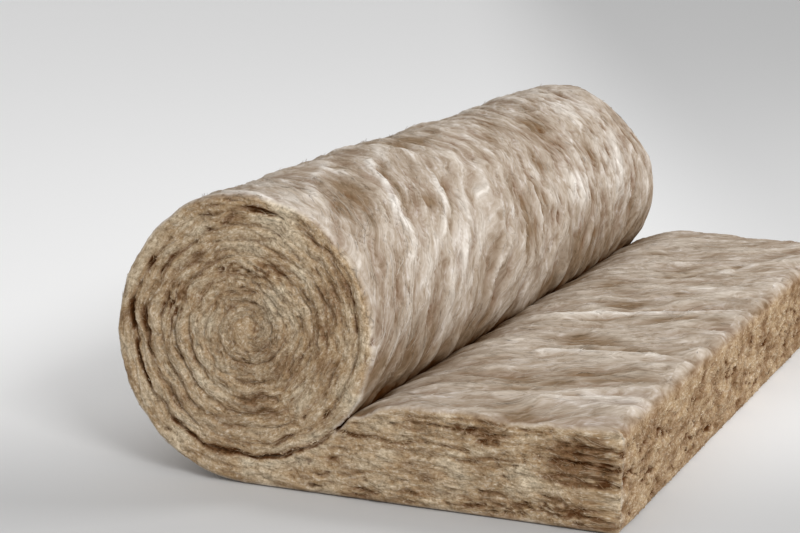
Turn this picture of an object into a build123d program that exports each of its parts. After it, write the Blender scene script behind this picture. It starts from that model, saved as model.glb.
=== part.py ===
from build123d import *
from math import asin, atan, cos, degrees, radians, sin, sqrt
import os

# A wide glass wool mat, partly unrolled: most of it is still wound into a roll,
# and its free end lies flat on the floor, where it has swollen to its full thickness.
# X runs along the unrolled mat, towards its cut end. Y runs across the mat, along the
# roll's axis. Z is up. The origin is on the floor, under the roll's axis, at mid width.

# Driving dimensions, in millimetres and degrees
MAT_WIDTH = 1200.0          # across the mat, along the roll's axis
TAIL_THICKNESS = 122.0      # of the free end between its folds, fully swollen
UNDER_ROLL_THICKNESS = 34.0  # of the mat pressed flat under the roll
TURN_PITCH = 18.0           # from one tightly wound turn to the next
WOUND_RADIUS = 156.0        # of the tightly wound turns
EYE_RADIUS = 12.0           # where the first turn starts, at the roll's core
TAIL_LENGTH = 300.0         # from the roll's side to the cut end
NIP_DROP = 26.0             # how far the nip lies below the top of the free end
NIP_OPENING = 18.0          # angle between the roll and the mat where they part
NIP_GAP = 3.0               # how wide the nip is at its bottom
SEAM_MOUTH = 7.0            # how wide the seam between two turns opens at the roll's ends
SEAM_DEPTH = 14.0           # how far in from the roll's ends the turns close up
CUT_SIDE_RADIUS = 8.0       # of the outer edge along both cut sides
TAIL_TOP_RADIUS = 14.0      # of the upper edge at the cut end
TAIL_FOOT_RADIUS = 10.0     # of the lower edge at the cut end
FOLD_SPACING = 85.0         # across the mat, between the starts of the free end's soft folds
FOLD_HEIGHT = 7.0           # of the folds at the cut end; inwards they die away
FOLD_WIDTH = 92.0           # at the cut end
FOLD_SLANT = 4.0            # angle of the first fold with the unrolled mat's length
FOLD_TURN = 4.0             # how much more each further fold slants
FOLD_SHIFT = 14.0           # how much further out the second and the third of every three start
FOLD_FIRST = -530.0         # where the first one starts, across the mat
FOLD_COUNT = 10
FOLD_ROOT = 28.0            # how deep they go below the mat's upper face
BULGE_HEIGHT = 5.5          # of the fuller place on top of the roll
BULGE_LENGTH = 400.0
BULGE_WIDTH = 172.0
BULGE_ROOT = 50.0           # how far its two ends run on inside the roll
BULGE_PLACE = (-25.0, -200.0)  # its middle, left of the roll's top and towards one end
SAG_DEPTH = 10.0            # how far the roll's shoulder has sunk at the other end
SAG_LENGTH = 130.0          # how far in from that end it sinks
SAG_OFFSET = 94.0           # how much flatter its curve is than the roll's own
SAG_ANGLE = 40.0            # from the roll's top to the middle of the sunken shoulder

# The roll is a two-centre spiral: half circles, each tangent to the next, with the right
# halves struck from one centre and the left halves from another, half a pitch lower.
HALF_PITCH = TURN_PITCH / 2
RIGHT_CENTRE = UNDER_ROLL_THICKNESS + WOUND_RADIUS
LEFT_CENTRE = RIGHT_CENTRE - HALF_PITCH

# The outermost half turn is looser: it reaches from the floor to the top of the roll.
ROLL_TOP = RIGHT_CENTRE + WOUND_RADIUS
LOOSE_RADIUS = ROLL_TOP / 2

# The nip, where the roll and the unrolled mat part. The swelling mat rises from it as one
# arc that ends level with the free end.
NIP_HEIGHT = TAIL_THICKNESS - NIP_DROP
NIP_ANGLE = degrees(asin((RIGHT_CENTRE - NIP_HEIGHT) / WOUND_RADIUS))
TAIL_END = WOUND_RADIUS + TAIL_LENGTH
RISE_SLOPE = 90 - NIP_ANGLE - NIP_OPENING
ON_ROLL, ON_MAT = (
    (radius * cos(radians(NIP_ANGLE)), RIGHT_CENTRE - radius * sin(radians(NIP_ANGLE)))
    for radius in (WOUND_RADIUS, WOUND_RADIUS + NIP_GAP)
)
RISE_RADIUS = (TAIL_THICKNESS - ON_MAT[1]) / (1 - cos(radians(RISE_SLOPE)))
LEVEL_START = ON_MAT[0] + RISE_RADIUS * sin(radians(RISE_SLOPE))

HALF_WIDTH = MAT_WIDTH / 2


def mat_section():
    """The outline of roll and unrolled mat, seen along Y: one closed face."""
    top_corner = (TAIL_END - TAIL_TOP_RADIUS, TAIL_THICKNESS - TAIL_TOP_RADIUS)
    foot_corner = (TAIL_END - TAIL_FOOT_RADIUS, TAIL_FOOT_RADIUS)
    rise_centre = (LEVEL_START, TAIL_THICKNESS - RISE_RADIUS)

    outline = [
        CenterArc((0, LOOSE_RADIUS), LOOSE_RADIUS, -90, -180),
        CenterArc((0, RIGHT_CENTRE), WOUND_RADIUS, 90, -90 - NIP_ANGLE),
        Line(ON_ROLL, ON_MAT),
        CenterArc(rise_centre, RISE_RADIUS, 90 + RISE_SLOPE, -RISE_SLOPE),
        Line((LEVEL_START, TAIL_THICKNESS), (top_corner[0], TAIL_THICKNESS)),
        CenterArc(top_corner, TAIL_TOP_RADIUS, 90, -90),
        Line((TAIL_END, top_corner[1]), (TAIL_END, foot_corner[1])),
        CenterArc(foot_corner, TAIL_FOOT_RADIUS, 0, -90),
        Line((foot_corner[0], 0), (0, 0)),
    ]
    return make_face(Wire(outline))


def arc_radius(chord, rise):
    """The radius of an arc that rises so far over its chord."""
    return (chord**2 / 4 + rise**2) / (2 * rise)


def segment(radius, depth):
    """The face under an arc, down to so far below its highest point, which is the origin."""
    half = sqrt(2 * radius * depth - depth**2)
    arc = ThreePointArc((-half, -depth), (0, 0), (half, -depth))
    return make_face([arc, Line((half, -depth), (-half, -depth))])


def fold_limit():
    """The space the folds may fill: up to their full height and rounded at the cut end."""
    crest, corner_x = TAIL_THICKNESS + FOLD_HEIGHT, TAIL_END - TAIL_TOP_RADIUS
    corner_z, foot = crest - TAIL_TOP_RADIUS, TAIL_THICKNESS - FOLD_ROOT
    outline = make_face([
        Line((0, crest), (corner_x, crest)),
        CenterArc((corner_x, corner_z), TAIL_TOP_RADIUS, 90, -90),
        Line((TAIL_END, corner_z), (TAIL_END, foot)),
        Line((TAIL_END, foot), (0, foot)),
        Line((0, foot), (0, crest)),
    ])
    return extrude(Plane.XZ * outline, HALF_WIDTH - CUT_SIDE_RADIUS, both=True)


def folds():
    """The soft folds of the free end's upper face: cylinders that rise out of it towards
    the cut end, where they round over with the mat's upper edge."""
    profile = Plane.YZ * segment(arc_radius(FOLD_WIDTH, FOLD_HEIGHT), FOLD_HEIGHT + FOLD_ROOT)
    made = []
    for number in range(FOLD_COUNT):
        slant = FOLD_SLANT + FOLD_TURN * number
        start = LEVEL_START + FOLD_SHIFT * (number % 3)
        run = TAIL_END - start
        rise = degrees(atan(FOLD_HEIGHT * cos(radians(slant)) / run))
        fold = Rot(0, 0, slant) * Rot(0, -rise, 0) * extrude(profile, 2 * run)
        across = FOLD_FIRST + FOLD_SPACING * number
        made.append(Pos(start, across, TAIL_THICKNESS) * fold & fold_limit())
    return made


def bulge():
    """The fuller place on top of the roll: two cylinders, highest where they meet, that
    run down into the roll's own curve towards both sides."""
    onward, across = BULGE_PLACE
    radius = 1 / (1 / arc_radius(BULGE_WIDTH, BULGE_HEIGHT) + 1 / LOOSE_RADIUS)
    depth = radius - sqrt(radius**2 - BULGE_WIDTH**2 / 4) + BULGE_HEIGHT
    fall = degrees(asin(BULGE_HEIGHT / (BULGE_LENGTH / 2)))
    length = BULGE_LENGTH / 2 + BULGE_ROOT
    run = Rot(-fall, 0, 0) * extrude(Plane.XZ * segment(radius, depth), length, both=True)
    run = split(run, Plane.XZ, keep=Keep.BOTTOM)
    lean = degrees(asin(onward / LOOSE_RADIUS))
    place = Pos(0, across, LOOSE_RADIUS) * Rot(0, lean, 0) * Pos(0, 0, LOOSE_RADIUS + BULGE_HEIGHT)
    return [place * run, place * mirror(run, about=Plane.XZ)]


def sunken_shoulder():
    """What the sunken shoulder at the roll's other end lacks: a sliver over an arc and a
    rounded edge, turned about an axis that lies further off than the roll's own."""
    radius, fall = WOUND_RADIUS + SAG_OFFSET, arc_radius(2 * SAG_LENGTH, SAG_DEPTH)
    start, rim = HALF_WIDTH - SAG_LENGTH, HALF_WIDTH - CUT_SIDE_RADIUS
    halfway = (start + rim) / 2
    sunk_halfway, sunk = (
        radius - fall + sqrt(fall**2 - (across - start) ** 2) for across in (halfway, rim)
    )
    edge, outside, beyond = sunk - CUT_SIDE_RADIUS, radius + SAG_DEPTH, HALF_WIDTH + SAG_DEPTH
    profile = make_face([
        ThreePointArc((radius, start), (sunk_halfway, halfway), (sunk, rim)),
        CenterArc((edge, rim), CUT_SIDE_RADIUS, 0, 90),
        Line((edge, HALF_WIDTH), (edge, beyond)),
        Line((edge, beyond), (outside, beyond)),
        Line((outside, beyond), (outside, start)),
        Line((outside, start), (radius, start)),
    ])
    sliver = revolve(profile, Axis.Y, 2 * SAG_ANGLE).rotate(Axis.Y, -SAG_ANGLE)
    return Pos(0, 0, RIGHT_CENTRE) * Rot(0, SAG_ANGLE - 90, 0) * Pos(-SAG_OFFSET, 0, 0) * sliver


def seam_stretch(centre_height, radius, start, sweep):
    """One stretch of the seam at the roll's end: a V groove turned about the roll's axis."""
    profile = make_face(Polyline(
        (radius, HALF_WIDTH - SEAM_DEPTH),
        (radius + SEAM_MOUTH, HALF_WIDTH + SEAM_DEPTH),
        (radius - SEAM_MOUTH, HALF_WIDTH + SEAM_DEPTH),
        close=True,
    ))
    groove = revolve(profile, Axis((0, 0, 0), (0, -1, 0)), sweep)
    return Pos(0, 0, centre_height) * Rot(0, -start, 0) * groove


def seam():
    """The seam between the turns at one end, from the nip inwards to the roll's eye."""
    stretches = [seam_stretch(RIGHT_CENTRE, WOUND_RADIUS, -90, 90 - NIP_ANGLE)]
    radius = WOUND_RADIUS - HALF_PITCH
    on_left = True
    while radius >= EYE_RADIUS:
        centre = LEFT_CENTRE if on_left else RIGHT_CENTRE
        start = 90 if on_left else -90
        stretches.append(seam_stretch(centre, radius, start, 180))
        radius -= HALF_PITCH
        on_left = not on_left
    return stretches


def wool_mat():
    """The whole mat: its section across the full width, with rounded cut sides and the
    turns opened up at both ends of the roll."""
    mat = extrude(Plane.XZ * mat_section(), HALF_WIDTH, both=True)
    ends = mat.faces().sort_by(Axis.Y)
    mat = fillet(ends[0].edges() + ends[-1].edges(), CUT_SIDE_RADIUS)
    mat -= sunken_shoulder()
    mat += folds()
    mat += bulge()
    for stretch in seam():
        mat -= stretch
        mat -= mirror(stretch, about=Plane.XZ)
    return mat


os.makedirs("parts", exist_ok=True)
export_step(wool_mat(), "parts/glass_wool_mat.step")
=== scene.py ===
import math

import bpy
import numpy as np
from mathutils import Matrix, Vector


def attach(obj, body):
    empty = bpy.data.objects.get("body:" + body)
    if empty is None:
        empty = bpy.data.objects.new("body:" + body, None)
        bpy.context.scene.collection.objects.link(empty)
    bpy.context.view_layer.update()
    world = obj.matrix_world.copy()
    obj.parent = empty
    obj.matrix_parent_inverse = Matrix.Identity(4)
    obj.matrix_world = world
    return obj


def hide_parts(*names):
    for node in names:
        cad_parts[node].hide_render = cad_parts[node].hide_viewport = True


# A glass wool mat, partly unrolled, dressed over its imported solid. All sizes in this file
# are in millimetres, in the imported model's own frame, until a mesh is made in metres.
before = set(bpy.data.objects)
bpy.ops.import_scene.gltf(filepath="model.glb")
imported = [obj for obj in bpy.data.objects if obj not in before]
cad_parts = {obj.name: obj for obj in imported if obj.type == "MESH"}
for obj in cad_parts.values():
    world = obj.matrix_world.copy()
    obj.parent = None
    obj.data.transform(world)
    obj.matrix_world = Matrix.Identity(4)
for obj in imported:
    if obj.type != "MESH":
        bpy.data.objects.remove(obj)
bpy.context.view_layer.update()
MM = 0.001

# The mat's section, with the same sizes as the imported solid
MAT_WIDTH = 1200.0
TAIL_THICKNESS = 122.0
UNDER_ROLL_THICKNESS = 34.0
TURN_PITCH = 18.0
WOUND_RADIUS = 156.0
EYE_RADIUS = 12.0
TAIL_LENGTH = 300.0
NIP_DROP = 26.0
NIP_OPENING = math.radians(18.0)
NIP_GAP = 3.0
RIM_RADIUS = 8.0
TAIL_TOP_RADIUS = 14.0
TAIL_FOOT_RADIUS = 10.0
FOLD_SPACING = 85.0
FOLD_HEIGHT = 7.0
FOLD_WIDTH = 92.0
FOLD_SLANT = math.radians(4.0)
FOLD_TURN = math.radians(4.0)
FOLD_SHIFT = 14.0
FOLD_FIRST = -530.0
FOLD_COUNT = 10
BULGE_HEIGHT = 5.5
BULGE_LENGTH = 400.0
BULGE_WIDTH = 172.0
BULGE_PLACE = (-25.0, -200.0)
SAG_DEPTH = 10.0
SAG_LENGTH = 130.0
SAG_OFFSET = 94.0
SAG_ANGLE = math.radians(40.0)

HALF_WIDTH = MAT_WIDTH / 2
RIM_Y = HALF_WIDTH - RIM_RADIUS
ROLL_AXIS = UNDER_ROLL_THICKNESS + WOUND_RADIUS
LOOSE_RADIUS = (ROLL_AXIS + WOUND_RADIUS) / 2
TAIL_END = WOUND_RADIUS + TAIL_LENGTH
NIP_HEIGHT = TAIL_THICKNESS - NIP_DROP
LIP_ANGLE = math.asin((ROLL_AXIS - NIP_HEIGHT) / WOUND_RADIUS)

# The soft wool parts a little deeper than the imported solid's nip.
NIP_ANGLE = LIP_ANGLE + math.radians(9.0)
NIP = (WOUND_RADIUS * math.cos(NIP_ANGLE), ROLL_AXIS - WOUND_RADIUS * math.sin(NIP_ANGLE))

# The winding angle is 0 where the roll meets the floor. It grows up the roll's left side,
# over its top and on inwards, and is negative along the unrolled free end.
FULL_TURN = 2 * math.pi
AT_NIP = 1.5 * math.pi + NIP_ANGLE
TAIL_ROOT = AT_NIP - FULL_TURN
AT_EYE = FULL_TURN + math.pi * math.floor((WOUND_RADIUS - EYE_RADIUS) / (TURN_PITCH / 2))

# How finely the mat is meshed: the near cut side is -1, the far one 1
TURN_STEPS = {-1: 300, 1: 240}
CUT_ROW = {-1: 1.9, 1: 2.7}
TAIL_COLUMN = {-1: 3.0, 1: 4.0}
COARSE_FROM_TURN = 2.5
SKIN_ROW = 6.2
LEVEL_POINTS = 80
LEAST_ROWS = 7
EYE_RINGS = 5

# The wool at the closed eye: its depth and thickness to its middle, and how far it stands out
EYE_DEPTH = 14.0
EYE_THICKNESS = 15.0
EYE_SWELL = 2.0

# Over this length past the nip the rim turns into the seam between two turns.
RIM_ENDS_OVER = 60.0

# A point's distance from the nearest open edge, where there is none
NO_EDGE = 99.0


# How uneven wool is. A place is divided by the size of the wanted lumps in millimetres, and
# the number after the two places keeps one pattern apart from the others.

SHUFFLER = np.random.default_rng(41)
SHUFFLE = np.tile(SHUFFLER.permutation(256), 3)
SLOPES = SHUFFLER.normal(size=(3, 256))
SLOPES /= np.linalg.norm(SLOPES, axis=0)


def lumps(x, y, z=0.0):
    """Smooth unevenness from about -1 to 1, one lump to each unit of x, y and z."""
    places = np.broadcast_arrays(*(np.asarray(v, float) for v in (x, y, z)))
    cells = [np.floor(v) for v in places]
    parts = [v - cell for v, cell in zip(places, cells)]
    cells = [cell.astype(int) for cell in cells]
    eased = [part**3 * (part * (part * 6 - 15) + 10) for part in parts]
    total = np.zeros(places[0].shape)
    for corner in np.ndindex(2, 2, 2):
        index, weight = 0, 1.0
        for cell, ease, step in zip(cells, eased, corner):
            index = SHUFFLE[index + ((cell + step) & 255)]
            weight = weight * (ease if step else 1 - ease)
        away = [part - step for part, step in zip(parts, corner)]
        total += weight * sum(SLOPES[k][index] * away[k] for k in range(3))
    return total * 1.6


def rough(x, y, z=0.0, layers=3):
    """Unevenness with finer and finer layers on it."""
    total, strength = 0.0, 1.0
    for layer in range(layers):
        scale = 2.03**layer
        total = total + strength * lumps(x * scale + 17.3 * layer, y * scale - 9.1 * layer, z)
        strength *= 0.55
    return total


def ridges(x, y, z=0.0):
    """Sharp crests between rounded hollows, from 0 to 1."""
    return (1 - np.minimum(np.abs(lumps(x, y, z)) * 1.6, 1)) ** 2


def rising(value, low, high):
    """0 up to low, 1 from high, and smooth between them."""
    share = np.clip((np.asarray(value, float) - low) / (high - low), 0, 1)
    return share * share * (3 - 2 * share)


def lasting(value, low, full, ending, high):
    """0 up to low, 1 from full to ending, 0 again from high, and smooth between them."""
    return rising(value, low, full) * (1 - rising(value, ending, high))


def fading(away, reach):
    """1 at a place and fading with the distance from it."""
    return np.exp(-((away / reach) ** 2))


def spot(x, y, x_mid, y_mid, x_reach, y_reach, lean=0.0):
    """A soft ragged spot: 1 at its middle, fading over its reach; lean slants it."""
    across = (y - y_mid - lean * (x - x_mid)) / y_reach + 0.45 * lumps(x / 22, y / 22, 6.5)
    onward = (x - x_mid) / x_reach + 0.45 * lumps(x / 25, y / 25, 9.9)
    return np.exp(-(across**2 + onward**2))


def crease(x, y, line, width):
    """1 on a line of points, fading over its width, thinner towards both ends."""
    nearest, share_there = np.full(np.shape(x), 1e9), np.zeros(np.shape(x))
    x = x + 3.0 * lumps(x / 24, y / 24, 1.2)
    y = y + 3.0 * lumps(x / 24, y / 24, 7.2)
    for k in range(len(line) - 1):
        (ax, ay), (bx, by) = line[k], line[k + 1]
        length = (bx - ax) ** 2 + (by - ay) ** 2
        share = np.clip(((x - ax) * (bx - ax) + (y - ay) * (by - ay)) / length, 0, 1)
        away = np.hypot(x - ax - share * (bx - ax), y - ay - share * (by - ay))
        closer = away < nearest
        nearest = np.where(closer, away, nearest)
        share_there = np.where(closer, (k + share) / (len(line) - 1), share_there)
    thin = np.sqrt(np.clip(1 - (2 * share_there - 1) ** 4, 0.05, 1))
    return fading(nearest, width * thin) * thin


# The wound section

def outer_face(theta):
    """The mat's outer face at a winding angle: its point, and the way out from it."""
    theta = np.asarray(theta, float)
    half_turn = np.floor(theta / math.pi)
    radius = WOUND_RADIUS - TURN_PITCH / 2 * np.maximum(half_turn - 1, 0)
    centre = np.where(half_turn % 2 == 0, ROLL_AXIS - TURN_PITCH / 2, ROLL_AXIS)
    radius = np.where(half_turn < 1, LOOSE_RADIUS, radius)
    centre = np.where(half_turn < 1, LOOSE_RADIUS, centre)
    out = np.stack([-np.sin(theta), -np.cos(theta)], -1)
    point = radius[..., None] * out + np.stack([np.zeros_like(theta), centre], -1)
    flat = (theta < 0)[..., None]
    on_floor = np.stack([-theta * LOOSE_RADIUS, np.zeros_like(theta)], -1)
    return np.where(flat, on_floor, point), np.where(flat, [0.0, -1.0], out)


def arc(centre, radius, start, end, steps):
    """Points of a circle between two angles."""
    turn = np.linspace(start, end, steps)
    return np.stack([centre[0] + radius * np.cos(turn), centre[1] + radius * np.sin(turn)], -1)


def free_end_top():
    """The free end's upper face, from deep in the nip to its rounded upper edge."""
    turn = np.linspace(NIP_ANGLE, LIP_ANGLE, 14)
    from_axis = WOUND_RADIUS + NIP_GAP * np.sqrt(np.linspace(0, 1, 14))
    wall = np.stack([from_axis * np.cos(turn), ROLL_AXIS - from_axis * np.sin(turn)], -1)
    slope = math.pi / 2 - LIP_ANGLE - NIP_OPENING
    radius = (TAIL_THICKNESS - wall[-1, 1]) / (1 - math.cos(slope))
    level_x = wall[-1, 0] + radius * math.sin(slope)
    swell = arc((level_x, TAIL_THICKNESS - radius), radius, math.pi / 2 + slope, math.pi / 2, 60)
    level_end = TAIL_END - TAIL_TOP_RADIUS
    level = np.linspace((level_x, TAIL_THICKNESS), (level_end, TAIL_THICKNESS), LEVEL_POINTS)
    return np.vstack([wall, swell[1:], level[1:]])


def rounded_off(from_edge, radius):
    """How far a face falls back at a distance from its rounded edge."""
    over = np.clip(radius - from_edge, 0, radius)
    return radius - np.sqrt(radius**2 - over**2)


def cut_end_x(height):
    """How far out the cut end stands at a height, with its upper and lower edges rounded."""
    top_inset = rounded_off(TAIL_THICKNESS - height, TAIL_TOP_RADIUS)
    return TAIL_END - top_inset - rounded_off(height, TAIL_FOOT_RADIUS)


def along(points):
    """Distance run along a line of points."""
    return np.concatenate([[0], np.cumsum(np.linalg.norm(np.diff(points, axis=0), axis=1))])


def at_distance(points, run, distance):
    """The places at given distances along a line of points."""
    return np.stack([np.interp(distance, run, points[:, k]) for k in range(points.shape[1])], -1)


THETA_TABLE = np.linspace(-TAIL_END / LOOSE_RADIUS, AT_EYE, 9000)
MAT_RUN = along(outer_face(THETA_TABLE)[0])


def mat_run(theta):
    """Length along the mat from the cut end, on its outer face."""
    return np.interp(theta, THETA_TABLE, MAT_RUN)


# The section's outline, once round: from the nip back over the roll, down to the floor,
# along the underside, up the cut end and back along the upper face to the nip
TOP_LINE = free_end_top()
TOP_RUN = along(TOP_LINE)
HEIGHTS = np.concatenate([
    TAIL_FOOT_RADIUS * (1 - np.cos(np.linspace(0, math.pi / 2, 12))),
    np.linspace(TAIL_FOOT_RADIUS, TAIL_THICKNESS - TAIL_TOP_RADIUS, 40)[1:-1],
    TAIL_THICKNESS - TAIL_TOP_RADIUS * (1 - np.sin(np.linspace(0, math.pi / 2, 12))),
])
OVER_THETA = np.linspace(AT_NIP, 0, 400)
OVER_ROLL = outer_face(OVER_THETA)[0]
UNDERSIDE = np.linspace((0.0, 0.0), (TAIL_END - TAIL_FOOT_RADIUS, 0.0), 120)
CUT_END = np.stack([cut_end_x(HEIGHTS), HEIGHTS], -1)
OUTLINE = np.vstack([OVER_ROLL, UNDERSIDE[1:], CUT_END[1:], TOP_LINE[::-1][1:]])
ROUND = along(OUTLINE)
ROLL_ROUND = ROUND[len(OVER_ROLL) - 1]
FOOT_AT = len(OVER_ROLL) + len(UNDERSIDE) - 2
FOOT_ROUND = ROUND[FOOT_AT]
TOP_ROUND = ROUND[FOOT_AT + len(CUT_END) - 1]
WHOLE_ROUND = ROUND[-1]
CREST_ROUND = np.interp(-math.pi, -OVER_THETA, ROUND[:len(OVER_ROLL)])

ROUND_FINE = np.linspace(0, WHOLE_ROUND, 4000)
OUTLINE_FINE = at_distance(OUTLINE, ROUND, ROUND_FINE)
WAY = np.gradient(OUTLINE_FINE, axis=0)
WAY /= np.linalg.norm(WAY, axis=1, keepdims=True)
OUTWARDS = np.stack([WAY[:, 1], -WAY[:, 0]], -1)


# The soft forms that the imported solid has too

def arc_radius(chord, rise):
    """The radius of an arc that rises so far over its chord."""
    return (chord**2 / 4 + rise**2) / (2 * rise)


def fold_height(reach, y):
    """The soft folds of the free end's upper face, which rise towards the cut end, and how
    near a place is to the hollow between two of them: 0 on a crest, 1 in a hollow."""
    x = np.interp(reach, TOP_RUN, TOP_LINE[:, 0])
    level_x = TOP_LINE[-LEVEL_POINTS, 0]
    radius = arc_radius(FOLD_WIDTH, FOLD_HEIGHT)
    x = x + 7 * lumps(x / 60, y / 60, 13.3)
    y = y + 13 * lumps(x / 75, y / 75, 3.9)
    height, off = np.full(np.shape(x), -np.inf), np.full(np.shape(x), np.inf)
    for number in range(FOLD_COUNT):
        slant = FOLD_SLANT + FOLD_TURN * number
        start = level_x + FOLD_SHIFT * (number % 3)
        across = FOLD_FIRST + FOLD_SPACING * number
        slope = FOLD_HEIGHT * math.cos(slant) / (TAIL_END - start)
        onward = (x - start) * math.cos(slant) + (y - across) * math.sin(slant)
        aside = (y - across) * math.cos(slant) - (x - start) * math.sin(slant)
        here = slope * onward - aside**2 / (2 * radius)
        height, off = np.maximum(height, here), np.where(here > height, np.abs(aside), off)
    between = np.clip(off / (FOLD_SPACING / 2), 0, 1) * rising(x, level_x, TAIL_END)
    return np.maximum(height, 0), between


def roll_shape(down, y):
    """The fuller place on top of the roll and its sunken shoulder at the far end."""
    top, across = BULGE_PLACE
    fuller = BULGE_HEIGHT * (1 - np.abs(y - across) / (BULGE_LENGTH / 2))
    fuller = fuller - (down - top) ** 2 / (2 * arc_radius(BULGE_WIDTH, BULGE_HEIGHT))
    in_from_end = np.maximum(y - HALF_WIDTH + SAG_LENGTH, 0)
    flatter = SAG_OFFSET / (2 * WOUND_RADIUS * (WOUND_RADIUS + SAG_OFFSET))
    sunken = in_from_end**2 / (2 * arc_radius(2 * SAG_LENGTH, SAG_DEPTH))
    sunken = sunken - (down - SAG_ANGLE * WOUND_RADIUS) ** 2 * flatter
    return np.maximum(fuller, 0) - np.maximum(sunken, 0)


# Relief of the faces. Each place is given by run, the distance round the outline from the
# nip, and y, the place across the mat. down is the distance from the roll's crest
# towards the nip, and reach the distance from the nip along the free end's upper face.
# Heights are in millimetres, hollow is below 0 in a hollow, where it paints shade into the
# colour, and above 0 on a crest, where it paints a highlight, and tone is below 0 where the
# wool is browner and above 0 where it is paler, partly the wool's own colour and partly
# painted shade and highlight along creases and seams and at the nip.

# Brown or pale spots of the roll: down, y, their reach both ways, lean, tone, height
ROLL_SPOTS = (
    (75, -470, 44, 84, -0.6, -0.85, -2.0),
    (6, -116, 24, 84, 0.1, -0.95, -4.0),
    (120, -300, 14, 32, -0.2, -0.8, -1.5),
    (284, -470, 40, 20, -0.2, -1.1, -2.0),
    (210, -30, 52, 20, -0.2, -0.7, -2.0),
    (70, 235, 26, 60, 0.0, -0.7, -1.5),
    (132, 120, 16, 24, 0.0, -0.8, -2.0),
    (140, 320, 16, 26, 0.0, -0.7, -1.5),
    (30, -200, 40, 50, 0.4, 0.4, 1.5),
    (205, -290, 50, 46, -0.6, 0.75, 2.0),
    (150, -400, 46, 26, -0.8, 0.6, 1.5),
    (120, -130, 56, 44, -0.8, 0.5, 1.5),
    (176, 200, 32, 96, 0.0, 0.65, 1.5),
    (60, 440, 60, 60, 0.0, 0.4, 0.0),
    (190, 440, 50, 70, 0.0, 0.4, 0.0),
)

# Crests and slits of the roll: their line as down, y; half width, height, tone. The tone is
# a painted highlight on a crest and painted shade in a slit.
ROLL_CREASES = (
    (((20, -280), (40, -330), (80, -360), (150, -430)), 7.0, 3.6, 1.1),
    (((30, -262), (52, -312), (94, -344), (160, -412)), 5.5, -3.0, -1.0),
    (((84, -222), (120, -262), (166, -330)), 7.0, 3.2, 1.0),
    (((92, -206), (130, -246), (172, -312)), 5.5, -2.6, -0.8),
    (((60, -330), (120, -420), (150, -480)), 6.0, 2.0, 0.8),
    (((-10, -350), (20, -470), (60, -540)), 7.0, 2.4, 0.9),
    (((150, -90), (200, -130), (262, -196)), 6.0, 2.6, 0.9),
    (((130, 60), (170, 48), (232, 30)), 5.5, -2.2, -0.8),
    (((276, -474), (322, -466)), 6.0, -5.0, -1.5),
    (((158, -8), (205, -26), (260, -52)), 5.0, -4.5, -1.4),
    (((150, 40), (200, 26), (240, 6)), 7.0, 2.2, 0.5),
)

# The same for the free end's upper face, by reach and y
TOP_SPOTS = (
    (205, -440, 40, 40, 0.0, -0.85, -1.5),
    (225, -566, 26, 26, 0.0, -0.8, -1.0),
    (290, -486, 56, 46, 0.0, 0.7, 1.5),
    (290, -386, 56, 40, 0.0, -0.65, -1.0),
    (214, -214, 36, 32, 0.1, -0.85, -1.0),
    (184, 8, 22, 24, 0.3, -0.85, -1.0),
    (130, 134, 24, 36, 0.0, -0.6, -0.5),
    (196, 246, 28, 26, 0.4, -0.85, -1.0),
    (246, 290, 20, 30, 0.8, 0.7, 1.0),
    (300, -60, 46, 30, 0.4, -0.35, 0.0),
    (300, 150, 46, 60, 0.4, 0.3, 0.0),
)
# Its crests and slits, as for the roll: the tone is a painted highlight on a crest and painted
# shade in a slit.
TOP_CREASES = (
    (((110, -100), (150, -85), (200, -50), (250, -10), (345, 45)), 8.0, 3.0, 0.85),
    (((112, -116), (156, -102), (208, -68), (258, -28), (345, 25)), 5.0, -2.5, -0.9),
    (((112, -84), (150, -68), (196, -34), (244, 6), (330, 58)), 5.0, -2.0, -0.7),
    (((180, 210), (240, 290), (280, 360)), 7.0, -2.0, -0.8),
    (((150, -290), (200, -260), (345, -245)), 6.0, -2.5, -0.9),
    (((150, -304), (200, -276), (345, -262)), 8.0, 2.5, 0.7),
    (((90, 270), (170, 300), (275, 366)), 8.0, 2.0, 0.4),
)


def roll_flow(down, y):
    """A place across the folds of the outermost turn, which slant as it was pulled tight."""
    near = rising(-y, -150, 420)
    drift = 42 * lumps(down / 190, y / 210, 3.1) + 15 * lumps(down / 74, y / 80, 4.4)
    return y + (0.35 + 0.25 * near) * down + 55 * near * rising(down, -20, 220) + drift


def top_flow(reach, y):
    """A place across the ripples of the free end's upper face."""
    drift = 26 * lumps(reach / 130, y / 120, 6.6) + 8 * lumps(reach / 50, y / 46, 2.1)
    return y - 0.5 * reach + drift


def tangle(a, b):
    """How far single fibres stray from the folds they lie in."""
    return 9 * lumps(a / 40, b / 40, 5.5) + 4 * lumps(a / 17, b / 17, 8.1)


def marks(a, b, spots, creases=()):
    """The height and the tone that spots and creases give a place."""
    height, tone = 0.0, 0.0
    for a_mid, b_mid, a_reach, b_reach, lean, spot_tone, spot_height in spots:
        here = spot(a, b, a_mid, b_mid, a_reach, b_reach, lean)
        height, tone = height + spot_height * here, tone + spot_tone * here
    for line, width, line_height, line_tone in creases:
        here = crease(a, b, line, width)
        height, tone = height + line_height * here, tone + line_tone * here
    return height, tone


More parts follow.
